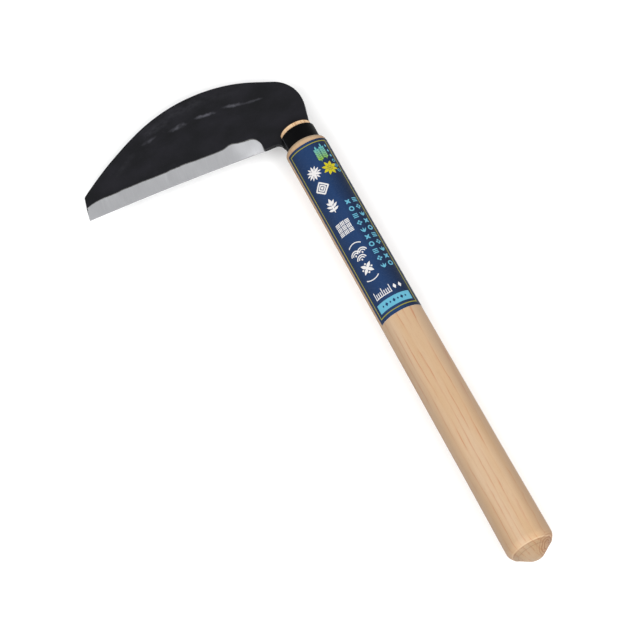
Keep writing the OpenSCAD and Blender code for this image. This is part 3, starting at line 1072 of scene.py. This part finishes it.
def scale_material():
    """Black forge scale: bluish, satin, with a few lighter hammer streaks."""
    g = Graph("forge_scale")
    cloud = g.noise((0.06, 0.09, 0.09), detail=3, rough=0.55)
    grit = g.noise(1.4, detail=4, rough=0.65)
    drawn = g.noise((0.16, 0.9, 0.9), detail=3, rough=0.6, turn=8.7)
    base = g.mix(g.rise(cloud, 0.35, 0.7), (0.0058, 0.006, 0.0072), (0.0098, 0.0096, 0.0124))
    # the hammered half towards the spine is mottled
    _, y, _ = g.xyz(g.coords(turn=6))
    upper = g.rise(g.span(y, BODY_HI[1] - 30, 40), 0.25, 0.5)
    mottle = g.noise((0.16, 0.34, 0.3), detail=4, rough=0.6, turn=12)
    mottle = g.times(g.rise(mottle, 0.42, 0.68), upper)
    base = g.mix(g.times(mottle, 0.4), base, (0.025, 0.0245, 0.029))
    warp = g.noise((0.35, 0.5, 0.5), detail=3)
    tex = g.node("TexCoord")
    ragged = g.node("TexNoise")
    ragged.inputs["Scale"].default_value = 260.0
    ragged.inputs["Detail"].default_value = 3.0
    g.link(tex.outputs["Object"], ragged.inputs["Vector"])
    torn = g.node("VectorMath", operation="MULTIPLY_ADD")
    g.link(ragged.outputs["Color"], torn.inputs[0])
    torn.inputs[1].default_value = (0.006, 0.0026, 0)
    g.link(tex.outputs["Object"], torn.inputs[2])
    mask = None
    top = BODY_HI[1] + 1.3
    for x, y, length, width, turn, amount in (
        (-79.5, top - 13.2, 7, 1.8, 2, 0.28), (-60.5, top - 14.8, 8, 1.7, -5, 0.46),
        (-43, top - 16.8, 8, 1.5, -15, 0.66), (-25.5, top - 20.2, 8.5, 1.7, -20, 0.5),
        (-14, top - 24.2, 8, 1.4, -12, 0.3), (-74, top - 8.0, 17, 4.5, 8, 0.12),
        (-50, top - 6.0, 18, 4.0, -4, 0.1), (-100, top - 20.0, 16, 4.0, 28, 0.08),
    ):
        m = g.node("Mapping", vector_type="TEXTURE")
        m.inputs["Location"].default_value = ((x + 3) * MM, y * MM, 0)
        m.inputs["Rotation"].default_value = (0, 0, math.radians(turn))
        m.inputs["Scale"].default_value = (length * MM, width * MM, 0.05)
        g.link(torn.outputs[0], m.inputs["Vector"])
        ball = g.node("TexGradient", gradient_type="SPHERICAL")
        g.link(m.outputs[0], ball.inputs["Vector"])
        spot = g.times(ball.outputs["Fac"], amount)
        mask = spot if mask is None else g.math("ADD", mask, spot)
    mask = g.times(mask, g.rise(warp, 0.3, 0.65, 0.4, 1.3))
    mask = g.rise(mask, 0.03, 0.55)
    col = g.mix(mask, base, (0.06, 0.06, 0.071))
    col = g.mix(g.times(g.rise(grit, 0.55, 0.8), 0.3), col,
                (0.03, 0.029, 0.036))
    rough = g.line(drawn, 0.18, g.line(grit, 0.12, 0.36))
    height = g.line(drawn, 0.7, g.times(grit, 0.35))
    g.set(color=col, roughness=rough, specular=0.11, normal=g.bump(height, 0.06, 0.7))
    return g.material


def ground_material(name, light, dark, rough0):
    """Steel off the stone: fine scratches across the edge, with a few deeper ones."""
    g = Graph(name)
    fine = g.noise((3.4, 0.09, 0.4), detail=3, rough=0.65, turn=8.7)
    deep = g.noise((1.1, 0.05, 0.3), turn=8.7)
    cloud = g.noise((0.07, 0.16, 0.1), turn=8.7)
    col = g.mix(g.rise(fine, 0.3, 0.7), light, dark)
    col = g.mix(g.times(g.rise(cloud, 0.35, 0.7), 0.3), col, dark)
    # the stone lifts off at the heel and leaves a softer, frosted end; the lighter colour there is a painted
    # highlight
    x, _, _ = g.xyz(g.coords())
    frosted = g.rise(g.span(x, -64, 40), 0.45, 1.0)
    rough = g.line(deep, 0.14, g.line(frosted, 0.14, rough0))
    painted_heel_highlight = g.rise(g.span(x, -64, 40), 0.84, 1.02)
    col = g.mix(g.times(painted_heel_highlight, 0.12), col, tuple(1.45 * c for c in light))
    height = g.line(deep, 0.6, fine)
    g.set(color=col, metallic=1.0, roughness=rough, normal=g.bump(height, 0.01, 0.4))
    return g.material


def ferrule_material():
    g = Graph("black_gloss")
    peel = g.noise(0.9)
    dust = g.noise(4, detail=3)
    col = g.mix(g.rise(dust, 0.5, 0.85), (0.002, 0.002, 0.0023), (0.006, 0.006, 0.007))
    # a thin grey line along the brazed seam is a painted highlight; the seam's low ridge itself is in the
    # mesh
    x, _, z = g.xyz(g.coords())
    around = g.math("ARCTAN2", z, x)
    seam = g.ramp(g.times(around, 1 / math.pi),
                  [(SEAM / 180 - 0.012, 0.0), (SEAM / 180 - 0.004, 1.0),
                   (SEAM / 180 + 0.004, 1.0), (SEAM / 180 + 0.012, 0.0)])
    col = g.mix(g.times(seam, 0.8), col, (0.045, 0.045, 0.05))
    rough = g.line(dust, 0.14, 0.36)
    g.set(color=col, roughness=rough, specular=0.025, normal=g.bump(peel, 0.05, 0.3))
    return g.material


def pin_material():
    g = Graph("wire_steel")
    grit = g.noise(2.5, detail=4)
    col = g.mix(grit, (0.2, 0.19, 0.18), (0.42, 0.42, 0.43))
    g.set(color=col, metallic=1.0, roughness=g.line(grit, 0.2, 0.35), normal=g.bump(grit, 0.04, 0.5))
    return g.material


def ink_material(name, a, b=None, mid=None, span=None):
    """Printed paper: satin ink over paper fibre. With b it fades around mid, from b below to a above."""
    g = Graph(name)
    fibre = g.noise((0.8, 2.4, 0.8), detail=4, rough=0.7)
    cloud = g.noise((0.12, 0.08, 0.12))
    col = a
    if b is not None:
        _, y, _ = g.xyz(g.coords())
        col = g.mix(g.rise(g.span(y, mid - span, 2 * span), 0.0, 1.0), b, a)
    elif max(a) < 0.2:
        # painted sheen and shade on the dark ground of the print: paler along the middle, darker towards both
        # sides
        x, _, _ = g.xyz(g.coords())
        x = g.line(cloud, 0.12, g.span(x, -15, 30))
        shaded = g.ramp(x, [(0.1, 0.8), (0.3, 0.3), (0.42, 0.1), (0.6, 0.0), (0.75, 0.45), (0.92, 0.9)])
        col = g.mix(shaded, col, tuple(0.22 * c for c in a))
    soft = g.mix(g.rise(cloud, 0.35, 0.7, 0.0, 0.22), col, tuple(c * 0.72 for c in a))
    soft = g.mix(g.rise(fibre, 0.5, 0.8, 0.0, 0.06), soft, (0.3, 0.34, 0.42))
    rough = g.line(fibre, 0.16, 0.4)
    g.set(color=soft, roughness=rough, specular=0.08, normal=g.bump(fibre, 0.02, 0.5))
    return g.material


def floor_material():
    g = Graph("pale_floor")
    n = g.noise(0.02, detail=3)
    g.set(color=g.mix(n, (0.93, 0.93, 0.93), (0.95, 0.95, 0.95)), roughness=0.9, specular=0.1)
    return g.material


# ------------------------------------------------------------------ pieces

scale = scale_material()
GROUND_LOOK = (0.508, 0.513, 0.531), (0.462, 0.467, 0.484), 0.3
ground_iron = ground_material("ground_iron", *GROUND_LOOK)
ground_steel = ground_material("ground_steel", *GROUND_LOOK)
# the honed edge facet uses a darker copy of the ground steel: painted shade for its steeper angle
honed = ground_material("honed_steel_painted_shade", (0.26, 0.262, 0.27), (0.2, 0.202, 0.21), 0.36)
fringe = ground_material("half_ground", (0.2, 0.2, 0.195), (0.09, 0.09, 0.088), 0.42)

body_rings, strip_rings, body_kinds, strip_kinds = blade_grid()
verts, faces, kinds = skin(body_rings, body_kinds)
blade = make_object("blade_forging", verts, faces, [scale, ground_iron, fringe], kinds, 32, weld=0.004)
place(blade, "forged_iron", "blade_body")
verts, faces, kinds = skin(strip_rings, strip_kinds)
strip = make_object("edge_strip", verts, faces, [scale, ground_steel, honed], kinds, 9, weld=0.004)
place(strip, "hard_steel", "edge_steel")

LIGHT, DARK, RED = rgb(173, 148, 121), rgb(169, 138, 103), rgb(152, 94, 60)
wood, wood_color = wood_material("sanded_wood", LIGHT, DARK, RED)
finish_handle(wood, wood_color)
slip_wood, _ = wood_material("slip_wood", rgb(144, 116, 90), rgb(132, 104, 78), rgb(108, 76, 54), 31.0)

place(make_handle(wood.material), "handle_wood", "handle")
place(make_wedge(slip_wood.material), "wedge_wood", "slot_wedge")
place(make_ferrule(ferrule_material()), "black_steel", "ferrule")
place(make_pin(pin_material()), "pin_steel", "tang_pin")

inks = [
    ink_material("print_navy", rgb(27, 50, 86)),
    ink_material("print_white", rgb(196, 194, 193)),
    ink_material("print_sky", rgb(86, 150, 172)),
    ink_material("print_green", rgb(84, 152, 160), rgb(118, 156, 40), LABEL_TOP - 10.0, 4.5),
    ink_material("print_gold", rgb(138, 132, 30)),
    ink_material("print_yellow", rgb(170, 160, 24)),
]
place(make_label(inks), "label_paper", "label")

# ------------------------------------------------------------------ floor, light and camera

floor_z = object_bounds()[0].z
floor_mesh = bpy.data.meshes.new("floor")
FLOOR_HALF = 6.0
corners = [(x * FLOOR_HALF, y * FLOOR_HALF, floor_z) for x, y in ((-1, -1), (1, -1), (1, 1), (-1, 1))]
floor_mesh.from_pydata(corners, [], [(0, 1, 2, 3)])
floor = bpy.data.objects.new("floor", floor_mesh)
bpy.context.scene.collection.objects.link(floor)
floor_mesh.materials.append(floor_material())


def area_light(name, at, size_x, size_y, power):
    """A rectangular light that faces the origin."""
    data = bpy.data.lights.new(name, "AREA")
    data.energy = power
    data.shape = "RECTANGLE"
    data.size = size_x
    data.size_y = size_y
    obj = bpy.data.objects.new(name, data)
    obj.location = at
    obj.rotation_mode = "QUATERNION"
    obj.rotation_quaternion = (-Vector(at)).to_track_quat("-Z", "Y")
    bpy.context.scene.collection.objects.link(obj)


# Each light is only a part of the whole, so that no single shadow darkens the floor
for side_name, side in (("left", -1), ("right", 1)):
    area_light("front_" + side_name, (side * 0.8, -1.2, 1.3), 1.2, 1.2, 23)
    area_light("side_" + side_name, (side * 1.35, 0.2, 1.2), 0.9, 1.4, 12)

world = bpy.data.worlds.new("studio")
bpy.context.scene.world = world
world.use_nodes = True
background = world.node_tree.nodes["Background"]
background.inputs["Color"].default_value = (1, 1, 1, 1)
background.inputs["Strength"].default_value = 0.56

# The camera stands 2.5 m from its target, tilted 26 degrees towards the butt and rolled by 29
tilt, roll, distance = math.radians(26), math.radians(29), 2.5
away = Vector((0, -math.sin(tilt), math.cos(tilt)))
level_up = Vector((0, math.cos(tilt), math.sin(tilt)))
right = math.cos(roll) * Vector((1, 0, 0)) - math.sin(roll) * level_up
up = math.sin(roll) * Vector((1, 0, 0)) + math.cos(roll) * level_up
target = Vector((-0.04243, 0.0692, -0.04697))
camera = bpy.data.objects.new("camera", bpy.data.cameras.new("camera"))
bpy.context.scene.collection.objects.link(camera)
camera.matrix_world = Matrix((
    (right.x, up.x, away.x, 0), (right.y, up.y, away.y, 0), (right.z, up.z, away.z, 0), (0, 0, 0, 1),
))
camera.location = target + away * distance
camera.data.sensor_width = 36.0
camera.data.lens = 234.375
camera.data.clip_end = 50.0
bpy.context.scene.camera = camera
bpy.context.scene.view_settings.view_transform = "Standard"
